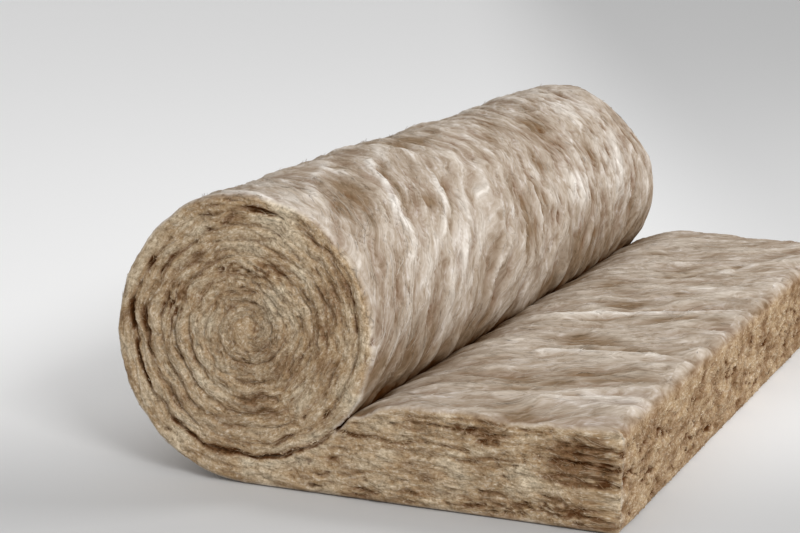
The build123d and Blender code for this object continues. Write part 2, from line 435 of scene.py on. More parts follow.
def roll_relief(run, y):
    """The outermost turn's skin: dents, slanting folds, tufts, and pits at the far end."""
    down = CREST_ROUND - run
    flow = roll_flow(down, y)
    bent = flow + tangle(down, y)
    soft = 2.8 * lumps(run / 170, y / 210, 0.3) + 2.4 * lumps(run / 66, y / 74, 5.2)
    folds = ridges(down / 150, (flow + bent) / 100, 1.7)
    tucks = ridges(down / 60, bent / 30, 8.4) ** 1.5
    puffs = lumps(down / 44, bent / 26, 14.2)
    tufts = rough(down / 20, bent / 9, 2.2)
    far = rising(y, -120, 140) * lasting(down, -170, -40, 200, 300)
    flecks = rising(lumps(down / 26, bent / 10, 7.3) + 0.5 * puffs, 0.10, 0.60)
    fleck_depth = flecks * (0.25 + 0.75 * far)
    calmer = 1 - 0.55 * rising(np.abs(y), RIM_Y - 52, RIM_Y)
    near_rim = rising(-y, RIM_Y - 87, RIM_Y - 20) * rising(down, -330, -60)
    mark_height, mark_tone = marks(down, y, ROLL_SPOTS, ROLL_CREASES)

    height = 3.4 * folds - 2.1 * tucks + 1.7 * puffs + 0.7 * tufts - 2.4 * fleck_depth - 0.8
    height = roll_shape(down, y) + soft + calmer * height + mark_height + 1.5 * near_rim
    # hollow paints shade into the tucks, the flecks and between folds, and a highlight onto tufts,
    # puffs and fold crests.
    hollow = 0.5 * tufts - 1.0 * tucks + 0.5 * puffs + 0.8 * (folds - 0.3)
    hollow = hollow - 0.9 * fleck_depth + 0.25

    # Tone: fold crests get a painted highlight, and the creases a painted highlight on their
    # crests and painted shade in their slits. Browner towards the nip, which is painted shade
    # under the roll; paler along the near rim and over the far half
    tone = 0.6 * rough(down / 120, flow / 70, 11.0) + 0.6 * lumps(down / 42, bent / 28, 4.9)
    tone = tone + 0.35 * rough(down / 26, bent / 15, 6.3, 2) + 0.5 * (folds - 0.3)
    tone = tone + 1.7 * mark_tone - 0.9 * fleck_depth - 0.30 + 0.2 * rising(y, 150, 420)
    shade_under_roll = rising(down + 26 * lumps(y / 90, down / 60, 7.9), 232, 300)
    tone = tone - 0.9 * shade_under_roll * (0.55 + 0.45 * rising(y, 60, 160) + 0.35 * rising(-y, 300, 420))
    near_rim = near_rim * (1 - rising(down, 190, 270))
    tone = tone + 0.8 * near_rim * (0.7 + 0.8 * lumps(down / 50, y / 14, 3.7))
    return height, hollow, tone


def top_relief(reach, y):
    """The free end's upper face: its folds, with ripples and small ledges that run out from
    the nip."""
    flow = top_flow(reach, y)
    bent = flow + 0.7 * tangle(reach, y)
    folds, between = fold_height(reach, y)
    swell = 1.6 * lumps(reach / 110, y / 100, 9.5)
    ripples = ridges(reach / 150, (flow + bent) / 92, 4.1)
    ledges = np.tanh(2.8 * lumps(reach / 80, bent / 30, 7.7))
    tufts = rough(reach / 22, bent / 9, 3.3)
    mark_height, mark_tone = marks(reach, y, TOP_SPOTS, TOP_CREASES)
    sag = 3.0 * rising(-y, RIM_Y - 162, RIM_Y) * lasting(reach, 40, 90, 250, 340)
    height = folds + swell + 2.4 * ripples + 1.8 * ledges + 0.9 * tufts
    height = height + 1.8 * mark_height - sag - 1.5
    # hollow paints shade where ledges, ripples and the folds sink and a highlight where they rise;
    # the tone adds painted shade between the folds.
    hollow = 0.4 * tufts + 0.6 * ledges + 0.9 * (ripples - 0.35) - 0.5 * between**3 + 0.15
    tone = 0.7 * rough(reach / 80, flow / 52, 12.0) + 0.5 * lumps(reach / 40, bent / 20, 5.7)
    tone = tone + 0.3 * rough(reach / 24, bent / 11, 6.9, 2) + 2.2 * mark_tone - 0.5
    tone = tone - 0.5 * between**4
    edge = rising(reach, TOP_RUN[-1] - 50, TOP_RUN[-1] - 8)
    return height + 1.5 * edge * lumps(y / 33, 0.5, 2.4), hollow, tone + 0.35 * edge


def end_relief(height_up, y):
    """The cut end: torn wool in sheets and clumps, with small dark pits."""
    level = height_up + 5 * lumps(y / 26, height_up / 30, 1.8)
    sheets = np.tanh(2.4 * lumps(y / 46, level / 12, 5.3))
    clumps = 1.6 * lumps(y / 46, height_up / 30, 1.1) + 1.1 * rough(y / 13, level / 8, 4.4)
    cracks = ridges(y / 34, level / 13, 2.9) ** 2
    pits = rising(lumps(y / 19, level / 7, 6.1) + 0.6 * lumps(y / 70, level / 40, 2.6), 0.36, 0.62)
    height = clumps + 1.6 * sheets - 1.6 * cracks - 3.6 * pits
    # hollow paints shade into cracks and pits and a highlight onto clumps and sheets.
    hollow = 0.30 * clumps + 0.5 * sheets - 1.2 * cracks - 2.0 * pits + 0.1
    tone = 0.9 * rough(y / 62, height_up / 30, 3.2) + 0.8 * lumps(y / 30, level / 12, 7.8)
    streaks = rising(lumps(y / 44, level / 7, 9.9), 0.2, 0.6)
    off_edges = lasting(height_up, 4, 26, TAIL_THICKNESS - 34, TAIL_THICKNESS - 10)
    hollow = (hollow - 0.9 * streaks) * (0.4 + 0.6 * off_edges)
    return height * (0.25 + 0.75 * off_edges), hollow, tone - 0.6 * streaks - 0.60


def skin_relief(run, y):
    """How far the mat's faces stand out from the plain section, with how hollow they are
    there and how brown or pale."""
    run, y = np.broadcast_arrays(np.asarray(run, float), np.asarray(y, float))
    totals = np.zeros((3, *run.shape))
    on_roll = 1 - rising(run, ROLL_ROUND - 120, ROLL_ROUND - 10)
    on_end = lasting(run, FOOT_ROUND, FOOT_ROUND + 15, TOP_ROUND - 14, TOP_ROUND)
    on_top = rising(run, TOP_ROUND - 22, TOP_ROUND + 2)
    for relief, share, place in (
        (roll_relief, on_roll, run),
        (end_relief, on_end, run - FOOT_ROUND),
        (top_relief, on_top, WHOLE_ROUND - run),
    ):
        here = share > 0
        if here.any():
            for total, value in zip(totals, relief(place[here], y[here])):
                total[here] += value * share[here]

    # The nip squeezes the wool: smooth inside and bulging beside it. Its shade is painted in,
    # dark in the nip and brown around it, by browner.
    height, hollow, tone = totals
    from_nip = np.minimum(run, WHOLE_ROUND - run)
    bulge = (1.0 + 2.2 * lumps(y / 46, run / 300, 2.6)) * lasting(from_nip, 6, 26, 38, 80)
    height = height * rising(from_nip, 8, 38) + bulge
    in_nip = 1 - rising(from_nip, 20, 46 + 10 * lumps(y / 34, run / 300, 5.1))
    near_nip = 1 - rising(from_nip, 20, 84 + 30 * lumps(y / 60, 0.7, 8.8))
    browner = 1.8 + 0.9 * lumps(y / 95, run / 300, 4.6)
    return height, hollow - 2.4 * in_nip, tone - browner * near_nip


def on_skin(run, y, lift=0.0):
    """Points on the mat's faces, lifted off them by lift; how hollow they are and what
    tone; and the way out from the face there."""
    height, hollow, tone = skin_relief(run, y)
    base = at_distance(OUTLINE_FINE, ROUND_FINE, run)
    out = at_distance(OUTWARDS, ROUND_FINE, run)
    place = base + out * (height + lift)[..., None]
    y = np.broadcast_to(y, np.shape(run))
    points = np.stack([place[..., 0], y, np.maximum(place[..., 1], 0)], -1)
    return points, hollow, tone, np.stack([out[..., 0], 0 * y, out[..., 1]], -1)


def skin_lay(run, y):
    """Where a point of the mat's faces is in the wool: along its folds, and across them."""
    run, y = np.broadcast_arrays(np.asarray(run, float), np.asarray(y, float))
    down, reach = CREST_ROUND - run, WHOLE_ROUND - run
    on_roll, on_top = run <= ROLL_ROUND, run >= TOP_ROUND - 1
    on_end = (run > FOOT_ROUND) & ~on_top
    first = np.select([on_end, on_top], [4000 + y, 2000 + reach], down) + tangle(y, run)
    flow = np.select([on_roll, on_end, on_top], [roll_flow(down, y), run, top_flow(reach, y)], y)
    second = flow + np.where(on_roll, tangle(down, y), 0.7 * tangle(reach, y))
    return np.stack([first, second, np.zeros_like(first)], -1)


# The cut sides

# Browner or hollow places of the near cut side: x, z, their reach both ways, lean, tone,
# hollow. Their hollow paints shade, also near the floor along the free end's foot, and a few
# highlights; their tone is partly the wool's own colour and partly painted shade.
NEAR_SPOTS = (
    (-12, 258, 44, 17, 0.0, -1.1, -0.5),
    (-96, 208, 14, 20, 0.0, -1.5, -1.4),
    (-70, 222, 26, 14, 0.0, -0.7, -0.3),
    (34, 262, 30, 12, 0.0, -0.8, -0.3),
    (100, 196, 20, 44, 0.0, -0.7, -0.4),
    (60, 150, 26, 40, 0.0, -0.5, -0.3),
    (-60, 120, 50, 26, 0.0, 0.8, 0.4),
    (-74, 166, 22, 30, 0.0, 0.7, 0.3),
    (-3, 104, 60, 22, 0.0, -0.5, -0.1),
    (-4, 198, 11, 8, 0.0, 0.3, 0.5),
    (9, 187, 5, 9, 0.0, -1.2, -1.6),
    (424, 96, 40, 9.0, 0.0, -1.2, -1.0),
    (420, 78, 46, 5.0, 0.0, -1.3, -1.8),
    (438, 60, 26, 9.0, 0.0, -1.0, -1.0),
    (300, 90, 16, 4.0, 0.0, -1.0, -1.8),
    (262, 101, 40, 5.0, 0.0, -0.8, -0.6),
    (400, 20, 60, 9.0, 0.0, -1.2, -1.0),
    (300, 14, 50, 8.0, 0.0, -0.8, -0.6),
    (228, 74, 40, 15, 0.0, 0.3, 0.3),
    (330, 52, 60, 16, 0.0, 0.3, 0.2),
)


def cut_relief(x, z, run, depth, thick, side):
    """Relief of a cut side, out along Y; how hollow it is and what tone. depth is the place
    in the mat's thickness, from its outer face."""
    seed = 3.3 * side
    wound = 1 - rising(thick, 34, 78)
    share = np.clip(depth / thick, 0, 1)
    fuller = 2.6 + 2.8 * lumps(run / 72, seed, 8.8)
    puff = fuller * np.sin(math.pi * share) * wound
    drift = 4.6 * lumps(x / 105, z / 105, seed) + 2.4 * lumps(x / 40, z / 40, seed + 5)
    stray = 3.0 * lumps(run / 29, depth / 15, seed + 1) + 1.2 * lumps(run / 11, depth / 8, seed + 2)
    level = depth + stray
    sheet = np.tanh(2.3 * lumps(run / 32, level / (9.5 - 2.8 * wound), seed + 3))
    thin_sheet = lumps(run / 17, level / 4.6, seed + 7)
    crumbs = rough(run / 8.5, depth / 5.0, seed + 4)
    cracks = ridges(run / 30, level / (13 - 3 * wound), seed + 8) ** 2
    pits = rising(lumps(run / 19, level / 8.0, seed + 6), 0.30, 0.66)
    height = puff + drift + 1.8 * sheet + 0.8 * thin_sheet + 1.1 * crumbs
    height = height - 2.2 * cracks - 2.4 * pits
    # hollow paints shade into cracks, pits and streaks and a highlight onto sheets and crumbs.
    hollow = 0.55 * sheet + 0.35 * thin_sheet + 0.4 * crumbs - 0.95 * cracks - 0.8 * pits + 0.40
    tone = 1.3 * rough(x / 54, z / 54, seed + 9) + 0.7 * lumps(run / 36, level / 11, seed + 8)
    tone = tone + 0.35 * lumps(run / 15, level / 6, seed + 13) + 0.35 * wound
    streaks = (1 - wound) * rising(lumps(run / 46, level / 7.5, seed + 21), 0.12, 0.55)
    height, hollow, tone = height - 1.5 * streaks, hollow - 1.0 * streaks, tone - 0.9 * streaks
    if side < 0:
        ragged = 0.3 + 1.5 * rising(lumps(run / 8, depth / 4.0, seed + 31), -0.35, 0.35)
        spot_hollow, spot_tone = marks(x, z, NEAR_SPOTS)
        tone, hollow = tone + ragged * spot_tone, hollow + ragged * spot_hollow
        height = height + 2.0 * ragged * spot_hollow
    return height, hollow, tone


def rim_place(theta):
    """Distance round the outline at a winding angle at which the outer face is in the open."""
    over_roll = np.interp(-theta, -OVER_THETA, ROUND[:len(OVER_ROLL)])
    return np.where(theta < 0, ROLL_ROUND - theta * LOOSE_RADIUS, over_roll)


def in_the_open(run):
    """1 up to the nip along the mat, and fading to 0 where its rim ends in the seam."""
    return 1 - rising(run, mat_run(AT_NIP), mat_run(AT_NIP) + RIM_ENDS_OVER)


def seam_line(theta, side):
    """The mat's outer face on a cut side: on the rim while it is in the open, and then in
    the seam between two turns, which strays from a true spiral."""
    face_point, out = outer_face(theta)
    x, z, run = face_point[:, 0], face_point[:, 1], mat_run(theta)
    seed = 4.7 * side
    stray = np.stack([
        6.0 * lumps(x / 88, z / 88, seed + k) + 3.4 * lumps(x / 31, z / 31, seed + k + 0.5)
        for k in (11, 17)
    ], -1)
    wobble = 2.1 * lumps(run / 41, seed, 2.8) + 1.2 * lumps(run / 14, seed, 7.1)
    inside = 1 - in_the_open(run)
    calmer = 1 - 0.6 * rising(theta, AT_EYE - 2 * FULL_TURN, AT_EYE)
    seam = face_point + (stray * calmer[:, None] + out * wobble[:, None]) * inside[:, None]
    rim = on_skin(rim_place(theta), side * RIM_Y)[0][:, [0, 2]]
    return np.where((theta < AT_NIP - 1e-6)[:, None], rim, seam)


def seam_opening(theta, side):
    """How deep the seam between two turns is open: here a gap, there pressed shut."""
    run = mat_run(theta)
    turn = (theta - AT_NIP) / FULL_TURN
    strength = 2.4 + 4.8 * (1 - rising(turn, 0.85, 1.25)) + 1.6 * (1 - rising(turn, 1.6, 2.4))
    varied = rising(rough(run / 48, side * 9.3, 1.9, 2), -0.4, 0.55)
    varied = np.maximum(varied, 0.9 * (1 - rising(turn, 0.03, 0.30)))
    lower_left = 0.75 + 0.45 * np.sin(theta)
    return strength * (0.12 + 0.98 * varied) * lower_left * rising(turn, -0.002, 0.012)


def cut_lay(run, depth, side):
    """Where a point of a cut side is in the wool: along the mat, and in its thickness."""
    return np.stack(np.broadcast_arrays(run, side * (RIM_Y + depth), 0.0), -1)


def cut_points(place, run, depth, thick, edge, side, lift=0.0):
    """Points of a cut side and their marks. edge is the distance from its open edges,
    towards which it rounds off."""
    height, hollow, tone = cut_relief(place[:, 0], place[:, 1], run, depth, thick, side)
    y = HALF_WIDTH - rounded_off(edge, RIM_RADIUS) + height * rising(edge, 0, 9) + lift
    points = np.stack([place[:, 0], side * y, np.maximum(place[:, 1], 0)], -1)
    bent = depth + 2.4 * lumps(run / 27, depth / 13, side * 2.2)
    return points, dict(
        hollow=hollow, cut=rising(edge, -1, 6), tone=tone, lay=cut_lay(run, bent, side))


def wound_side(theta, share, side, lift=0.0):
    """Points of a cut side on the roll's turns, by winding angle and share of the mat's
    thickness from its outer to its inner face."""
    outer, inner = seam_line(theta, side), seam_line(theta + FULL_TURN, side)
    thick = np.linalg.norm(inner - outer, axis=1)
    place, depth = outer + (inner - outer) * share[:, None], share * thick
    edge = np.where(theta < AT_NIP, depth, NO_EDGE)
    past_root = TAIL_ROOT + 0.25
    off_nip = thick - depth + NO_EDGE * rising(theta, TAIL_ROOT, past_root)
    edge = np.where(theta < past_root, np.minimum(edge, off_nip), edge)
    points, marks = cut_points(place, mat_run(theta), depth, thick, edge, side, lift)

    # Each seam is a groove with painted shade, brown and darkest in its middle, between two
    # crests with painted highlights.
    for opening, away in (
        (np.where(theta < AT_NIP, 0, seam_opening(theta, side)), depth),
        (seam_opening(theta + FULL_TURN, side), thick - depth),
    ):
        strong = np.minimum(opening / 6, 1)
        middle, groove, beside = (fading(away, reach) for reach in (1.9, 3.4, 4.4))
        crest = fading(away - 7.5, 2.4)
        points[:, 1] -= side * 0.22 * opening * groove
        marks["hollow"] = marks["hollow"] + strong * (0.7 * crest - 2.0 * beside - 1.4 * middle)
        marks["tone"] = marks["tone"] - 1.5 * strong * beside
    return points, marks


def tail_ends(outward, side):
    """The free end's lower and upper rim, from the nip at 0 to the cut end at 1."""
    root_x = -TAIL_ROOT * LOOSE_RADIUS
    floor_x = root_x + (TAIL_END - TAIL_FOOT_RADIUS - root_x) * outward
    low = on_skin(ROLL_ROUND + floor_x, side * RIM_Y)
    high = on_skin(WHOLE_ROUND - TOP_RUN[-1] * outward, side * RIM_Y)
    return floor_x, low, high


def tail_side(outward, share, side, lift=0.0):
    """Points of a cut side on the free end, by how far out and how far up they are."""
    floor_x, (low, *_), (high, *_) = tail_ends(outward, side)
    outer, inner = low[:, [0, 2]], high[:, [0, 2]]
    thick = np.linalg.norm(inner - outer, axis=1)
    place, depth = outer + (inner - outer) * share[:, None], share * thick
    slant = cut_end_x(place[:, 1]) - (outer[:, 0] + (inner[:, 0] - outer[:, 0]) * share)
    place[:, 0] += rising(outward, 0.9, 1.0) * slant
    edge = np.minimum(np.minimum(depth, thick - depth), (1 - outward) * (TAIL_END - NIP[0]))
    return cut_points(place, TAIL_END - floor_x, depth, thick, edge, side, lift)


# The mat's mesh. Its faces are of three kinds: on a cut side, on the mat's two broad faces,
# and on the cut end.

CUT, FACES, CUT_FACE = 0, 1, 2


class Mesh:
    """Points and faces as they are made, with what the wool's finish needs at each."""

    def __init__(self):
        self.points = []
        self.marks = {key: [] for key in ("hollow", "cut", "tone", "lay", "inner_lay", "round")}
        self.faces, self.face_run, self.face_zone = [], [], []
        self.count = 0

    def add(self, points, hollow, cut, tone, lay, inner_lay=None, round_at=-1.0):
        """Adds points and returns their numbers. lay is their place in the wool, inner_lay
        the one in the next turn out, and round_at the place round the outline, if any."""
        n = len(points)
        self.points.append(points)
        given = (hollow, cut, tone, lay, lay if inner_lay is None else inner_lay, round_at)
        for key, value in zip(self.marks, given):
            wide = (n, 3) if key.endswith("lay") else (n,)
            self.marks[key].append(np.broadcast_to(value, wide))
        self.count += n
        return np.arange(self.count - n, self.count)

    def face(self, corners, run, zone):
        """Adds a face, which lies at a run along the wool or round the outline."""
        self.faces.append([int(c) for c in corners])
        self.face_run.append(run)
        self.face_zone.append(zone)

    def strip(self, left, right, left_at, right_at, run, zone, flip=False):
        """Faces between two lines of points that need not have as many points each. Each
        line's places, from its start to its end, say which points lie abreast."""
        i = j = 0
        same = len(left) == len(right)
        while i < len(left) - 1 or j < len(right) - 1:
            here = run if run is not None else (left_at[i] + right_at[j]) / 2
            if same:
                corners = list(dict.fromkeys([left[i], left[i + 1], right[j + 1], right[j]]))
                i, j = i + 1, j + 1
            elif j == len(right) - 1 or (i < len(left) - 1 and left_at[i + 1] <= right_at[j + 1]):
                corners = [left[i], left[i + 1], right[j]]
                i += 1
            else:
                corners = [left[i], right[j + 1], right[j]]
                j += 1
            at_end = zone == FACES and FOOT_ROUND < here < TOP_ROUND
            self.face(corners[::-1] if flip else corners, here, CUT_FACE if at_end else zone)


def rows_across(thick, side):
    """The points inside each column across the mat's thickness, as shares of it; which
    column each point is in; and where one column's points end and the next one's start."""
    counts = [max(LEAST_ROWS, round(t / CUT_ROW[side])) - 1 for t in thick]
    shares = [np.arange(1, n + 1) / (n + 1) for n in counts]
    return shares, np.repeat(np.arange(len(counts)), counts), np.cumsum(counts)[:-1]


def wound_turns(mesh, side):
    """The roll's turns on a cut side. Returns the rim over the roll, as distances round the
    outline and points; the columns, with their points' shares of the thickness; and the
    innermost turn's points, their places and their runs."""
    turn = TURN_STEPS[side]
    step = FULL_TURN / turn
    last = int((AT_EYE - AT_NIP) / step)
    coarse_from = int((COARSE_FROM_TURN - 1) * turn)
    columns = [i for i in range(-turn, last - turn + 1) if i <= coarse_from or i % 2 == 0]
    spots = sorted(set(columns) | {i + turn for i in columns})
    theta = AT_NIP + np.array(spots) * step
    run, exposed = mat_run(theta), np.array(spots) < 0

    # The outer face's points: on the rim while the face is in the open, then in the seam
    rim_at = np.where(exposed, rim_place(theta), 0.0)
    rim, rim_hollow, rim_tone, _ = on_skin(rim_at, side * RIM_Y)
    xz, opening = seam_line(theta, side), seam_opening(theta, side)
    inset = np.maximum(opening, RIM_RADIUS * in_the_open(run))
    seam = np.stack([xz[:, 0], side * (HALF_WIDTH - inset), xz[:, 1]], -1)
    seam_tone = cut_relief(xz[:, 0], xz[:, 1], run, 0.0, TURN_PITCH, side)[2]
    thick = np.linalg.norm(outer_face(theta - FULL_TURN)[0] - xz, axis=1)
    # Points in a seam get painted shade, the deeper the wider it opens, and a browner tone.
    ids = mesh.add(
        np.where(exposed[:, None], rim, seam),
        np.where(exposed, rim_hollow, -0.35 - 0.20 * opening), np.where(exposed, 0.0, 1.0),
        np.where(exposed, rim_tone, seam_tone - 0.25),
        cut_lay(run, 0.0, side), cut_lay(mat_run(theta - FULL_TURN), thick, side),
        np.where(exposed | (np.array(spots) == 0), rim_at, -1.0),
    )
    at_spot = {i: k for k, i in enumerate(spots)}

    # The columns of points across the mat's thickness
    across = [np.linalg.norm(xz[at_spot[i + turn]] - xz[at_spot[i]]) for i in columns]
    shares, column_of, breaks = rows_across(across, side)
    column_theta = AT_NIP + np.array(columns)[column_of] * step
    points, marks = wound_side(column_theta, np.concatenate(shares), side)
    inside = np.split(mesh.add(points, **marks), breaks)
    made = [
        ([ids[at_spot[i]], *inner, ids[at_spot[i + turn]]], np.concatenate([[0], s, [1]]))
        for i, inner, s in zip(columns, inside, shares)
    ]
    for k in range(len(columns) - 1):
        i, j = columns[k], columns[k + 1]
        (left, left_at), (right, right_at) = made[k], made[k + 1]
        middle = float(mat_run(AT_NIP + (i + j) / 2 * step))
        between = [ids[at_spot[m]] for m in range(i + 1, j) if m in at_spot]
        if between:
            corners = [left[0], left[1], right[1], right[0], *between]
            mesh.face(corners if side < 0 else corners[::-1], middle, CUT)
            left, right, left_at, right_at = left[1:], right[1:], left_at[1:], right_at[1:]
        mesh.strip(left, right, left_at, right_at, middle, CUT, side > 0)

    innermost = [at_spot[i] for i in spots if i > columns[-1]]
    over_roll = sorted(zip(rim_at[exposed], ids[exposed]))
    return over_roll, made, (ids[innermost], xz[innermost], run[innermost])


def closed_eye(mesh, side, last_column, rim_ids, rim_xz, rim_run):
    """The eye of the roll, closed over the innermost turn, and calmer towards its middle."""
    core = rim_xz.mean(0)
    inward = np.append(np.tile(np.arange(1, EYE_RINGS) / EYE_RINGS, len(rim_ids)), 1.0)
    place = np.vstack([np.repeat(rim_xz, EYE_RINGS - 1, axis=0), core])
    place = place + (core - place) * inward[:, None]
    run = np.append(np.repeat(rim_run, EYE_RINGS - 1), rim_run[-1])
    points, marks = cut_points(place, run, EYE_DEPTH * inward, EYE_THICKNESS, NO_EDGE, side)
    height = side * points[:, 1] - HALF_WIDTH
    points[:, 1] = side * (HALF_WIDTH + height * (1 - inward) + EYE_SWELL * inward)
    # Towards its middle the eye's own shade and highlight fade into a faint painted highlight.
    marks["hollow"] = marks["hollow"] * (1 - inward) + 0.5 * inward
    marks["tone"] = marks["tone"] * (1 - inward)
    ids = mesh.add(points, **marks)
    spokes = np.split(ids[:-1], len(rim_ids))
    lines = [[v, *spoke, ids[-1]] for v, spoke in zip(rim_ids, spokes)]
    lines.insert(0, [*last_column, *lines[-1][1:]])
    for left, right in zip(lines, lines[1:]):
        places = np.linspace(0, 1, len(left)), np.linspace(0, 1, len(right))
        mesh.strip(left, right, *places, float(rim_run[-1]), CUT, side > 0)


def free_end_edge(mesh, side, previous, previous_at):
    """The free end's long edge, from the roll's first column out to the cut end. Returns
    its rim along the floor, up the cut end and back along the top."""
    count = int((TAIL_END - NIP[0]) / TAIL_COLUMN[side])
    outward = np.arange(1, count + 1) / count
    floor_x, low, high = tail_ends(outward, side)
    run, thick = TAIL_END - floor_x, np.linalg.norm(high[0] - low[0], axis=1)
    low_at, high_at = ROLL_ROUND + floor_x, WHOLE_ROUND - TOP_RUN[-1] * outward
    low_ids, high_ids = (
        mesh.add(points, hollow, 0.0, tone, cut_lay(run, depth, side), None, rim_at)
        for (points, hollow, tone, _), depth, rim_at in ((low, 0.0, low_at), (high, thick, high_at))
    )
    shares, column_of, breaks = rows_across(thick, side)
    points, marks = tail_side(outward[column_of], np.concatenate(shares), side)
    on_end = column_of == count - 1
    end_at = np.interp(points[on_end, 2], HEIGHTS, ROUND[FOOT_AT:][:len(HEIGHTS)])
    points[on_end], hollow, tone, _ = on_skin(end_at, side * RIM_Y)
    marks["hollow"][on_end], marks["tone"][on_end], marks["cut"][on_end] = hollow, tone, 0.7
    round_at = np.full(len(points), -1.0)
    round_at[on_end] = end_at
    inside = np.split(mesh.add(points, **marks, round_at=round_at), breaks)
    for k in range(count):
        column = [low_ids[k], *inside[k], high_ids[k]]
        column_at = np.concatenate([[0], shares[k], [1]])
        mesh.strip(column, previous, column_at, previous_at, float(run[k]), CUT, side > 0)
        previous, previous_at = column, column_at
    return [*zip(low_at, low_ids), *zip(end_at, inside[-1]), *zip(high_at[::-1], high_ids[::-1])]


def cut_side(mesh, side):
    """One cut side of the mat: the wound turns, the eye and the free end's long edge.
    Returns its rim, once round, as distances round the outline and points."""
    over_roll, columns, innermost = wound_turns(mesh, side)
    closed_eye(mesh, side, columns[-1][0], *innermost)
    round_end = free_end_edge(mesh, side, *columns[0])
    nip_id = columns[0][0][-1]
    return [(0.0, nip_id), *over_roll, *round_end, (WHOLE_ROUND, nip_id)]


def skin_stations():
    """Distances round the outline at which the faces are meshed: finest at the cut end,
    fine on the roll's and the free end's upper faces, coarse on the underside."""
    behind_crest = CREST_ROUND + 110
    spans = (
        (0, behind_crest, 5.6), (behind_crest, ROLL_ROUND, 8.6), (ROLL_ROUND, FOOT_ROUND, 30.0),
        (FOOT_ROUND, TOP_ROUND, 4.2), (TOP_ROUND, WHOLE_ROUND, 5.4),
    )
    made = [np.linspace(a, b, round((b - a) / step) + 1)[:-1] for a, b, step in spans]
    return np.concatenate([*made, [WHOLE_ROUND]])


def faces_between(mesh, near_rim, far_rim):
    """The mat's outer, upper and lower faces and its cut end, between both cut sides."""
    stations = skin_stations()
    ys = np.linspace(-RIM_Y, RIM_Y, round(2 * RIM_Y / SKIN_ROW) + 1)[1:-1]
    n = len(stations) - 1
    run, y = np.tile(stations[:-1], len(ys)), np.repeat(ys, n)
    points, hollow, tone, _ = on_skin(run, y)
    cut = lasting(run, FOOT_ROUND, FOOT_ROUND + 10, TOP_ROUND - 20, TOP_ROUND - 5)
    ids = mesh.add(points, hollow, cut, tone, skin_lay(run, y), None, run).reshape(len(ys), n)
    near_at, near_ids = zip(*near_rim)
    previous, previous_at = list(near_ids), list(near_at)
    for ring in ids:
        line = [*ring, ring[0]]
        mesh.strip(previous, line, previous_at, list(stations), None, FACES, True)
        previous, previous_at = line, list(stations)
    far_at, far_ids = zip(*far_rim)
    mesh.strip(previous, list(far_ids), previous_at, list(far_at), None, FACES, True)


def wool_mesh(name, points, faces, marks):
    """A smooth Blender mesh with how hollow, how much cut and what tone its points are."""
    data = bpy.data.meshes.new(name)
    data.from_pydata((points * MM).tolist(), [], faces)
    data.update()
    data.polygons.foreach_set("use_smooth", np.ones(len(faces), bool))
    for key in ("hollow", "cut", "tone"):
        made = data.attributes.new(key, "FLOAT", "POINT")
        made.data.foreach_set("value", np.concatenate(marks[key]).astype(np.float32))
    return data


def add_lay(data, lay, domain):
    """Gives the finish each point's or corner's place in the wool."""
    made = data.attributes.new("lay", "FLOAT_VECTOR", domain)
    made.data.foreach_set("vector", (lay * MM).astype(np.float32).ravel())


def finished_mesh(mesh, name):
    """Turns the collected points and faces into one closed Blender mesh."""
    points = np.vstack(mesh.points)
    data = wool_mesh(name, points, mesh.faces, mesh.marks)

    # Where two turns meet, or the roll and the free end, each takes its own place in the wool.
    corner = np.empty(len(data.loops), int)
    data.loops.foreach_get("vertex_index", corner)
    sizes = np.empty(len(data.polygons), int)
    data.polygons.foreach_get("loop_total", sizes)
    face_of = np.repeat(np.arange(len(sizes)), sizes)
    run, zone = np.array(mesh.face_run)[face_of], np.array(mesh.face_zone)[face_of]
    lay, inner = (np.vstack(mesh.marks[key])[corner] for key in ("lay", "inner_lay"))
    closer = np.abs(inner[:, 0] - run) < np.abs(lay[:, 0] - run)
    lay = np.where((closer & (zone == CUT))[:, None], inner, lay)
    place, round_at = points[corner], np.concatenate(mesh.marks["round"])[corner]
    round_at = np.where((round_at == 0) & (run > WHOLE_ROUND / 2), WHOLE_ROUND, round_at)
    on_end = np.clip(round_at, FOOT_ROUND + 0.01, TOP_ROUND - 1.01)
    round_at = np.where(zone == CUT_FACE, on_end, round_at)
    lay = np.where((zone != CUT)[:, None], skin_lay(round_at, place[:, 1]), lay)
    add_lay(data, lay, "CORNER")
    return data


# Finishes

def colour(text):
    """An sRGB hex colour as linear red, green and blue."""
    parts = [int(text[k:k + 2], 16) / 255 for k in (1, 3, 5)]
    return (*(c / 12.92 if c <= 0.04045 else ((c + 0.055) / 1.055) ** 2.4 for c in parts), 1.0)


def node(tree, kind, settings=None, **inputs):
    """Adds one node and returns its output. settings are its own fields, and a colour
    ramp's stops; inputs are values, hex colours or other nodes' outputs, by socket, with
    a number after the name for its second or third socket of that name."""
    made = tree.nodes.new(kind)
    for field, value in (settings or {}).items():
        if field == "stops":
            for _ in value[2:]:
                made.color_ramp.elements.new(1.0)
            for element, (position, text) in zip(made.color_ramp.elements, value):
                element.position, element.color = position, colour(text)
        else:
            setattr(made, field, value)
    for key, value in inputs.items():
        label, number = (key[:-1], int(key[-1]) - 1) if key[-1].isdigit() else (key, 0)
        label = label.replace("_", " ")
        socket = [s for s in made.inputs if s.name == label and s.enabled][number]
        if isinstance(value, bpy.types.NodeSocket):
            tree.links.new(value, socket)
        else:
            socket.default_value = colour(value) if isinstance(value, str) else value
    return next((s for s in made.outputs if s.enabled), None)


